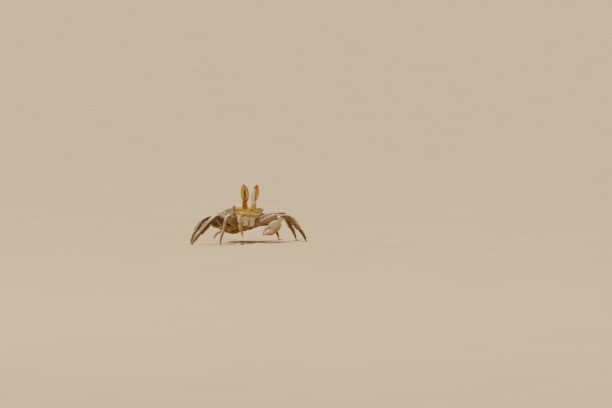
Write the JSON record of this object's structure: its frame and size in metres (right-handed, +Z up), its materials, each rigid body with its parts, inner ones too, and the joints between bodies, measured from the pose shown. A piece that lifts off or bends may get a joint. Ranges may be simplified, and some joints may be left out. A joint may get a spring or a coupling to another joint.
{
  "type": "ghost crab",
  "caption": "Young ghost crab model, life size, standing with raised eyes, one claw folded before the face and the other hanging.",
  "frame": {"origin": "middle of the ground that the crab covers, at the level of the leg tips", "axes": "+Z up; the crab faces -Y; +X is the crab's left side"},
  "size_m": [0.0778, 0.0514, 0.0319],
  "materials": {
    "shell": "satin, finely granular, sand coloured with grey mottling and a yellow front",
    "leg": "satin, sandy cream with brown mottling",
    "leg_tip": "satin, fluted, with darker horny ends",
    "claw": "satin, pale cream with orange tan shade and small grains",
    "belly": "smooth, pale tan",
    "mouthparts": "satin, pale grey cream",
    "eyestalk": "smooth, amber yellow below and white along the inner side",
    "cornea": "glossy, golden amber with a dark upright streak"
  },
  "bodies": {
    "root": {"carapace": "shell", "sternum": "belly", "abdomen": "belly", "maxilliped_right": "mouthparts", "antenna_right": "mouthparts", "eyestalk_right": "eyestalk", "cornea_right": "cornea", "claw_right_arm": "claw", "claw_right_wrist": "claw", "claw_right_hand": "claw", "claw_right_finger": "claw", "leg_right_1_merus": "leg", "leg_right_1_carpus": "leg", "leg_right_1_propodus": "leg", "leg_right_1_dactyl": "leg_tip", "leg_right_2_merus": "leg", "leg_right_2_carpus": "leg", "leg_right_2_propodus": "leg", "leg_right_2_dactyl": "leg_tip", "leg_right_3_merus": "leg", "leg_right_3_carpus": "leg", "leg_right_3_propodus": "leg", "leg_right_3_dactyl": "leg_tip", "leg_right_4_merus": "leg", "leg_right_4_carpus": "leg", "leg_right_4_propodus": "leg", "leg_right_4_dactyl": "leg_tip", "maxilliped_left": "mouthparts", "antenna_left": "mouthparts", "eyestalk_left": "eyestalk", "cornea_left": "cornea", "claw_left_arm": "claw", "claw_left_wrist": "claw", "claw_left_hand": "claw", "claw_left_finger": "claw", "leg_left_1_merus": "leg", "leg_left_1_carpus": "leg", "leg_left_1_propodus": "leg", "leg_left_1_dactyl": "leg_tip", "leg_left_2_merus": "leg", "leg_left_2_carpus": "leg", "leg_left_2_propodus": "leg", "leg_left_2_dactyl": "leg_tip", "leg_left_3_merus": "leg", "leg_left_3_carpus": "leg", "leg_left_3_propodus": "leg", "leg_left_3_dactyl": "leg_tip", "leg_left_4_merus": "leg", "leg_left_4_carpus": "leg", "leg_left_4_propodus": "leg", "leg_left_4_dactyl": "leg_tip"}
  },
  "joints": []
}
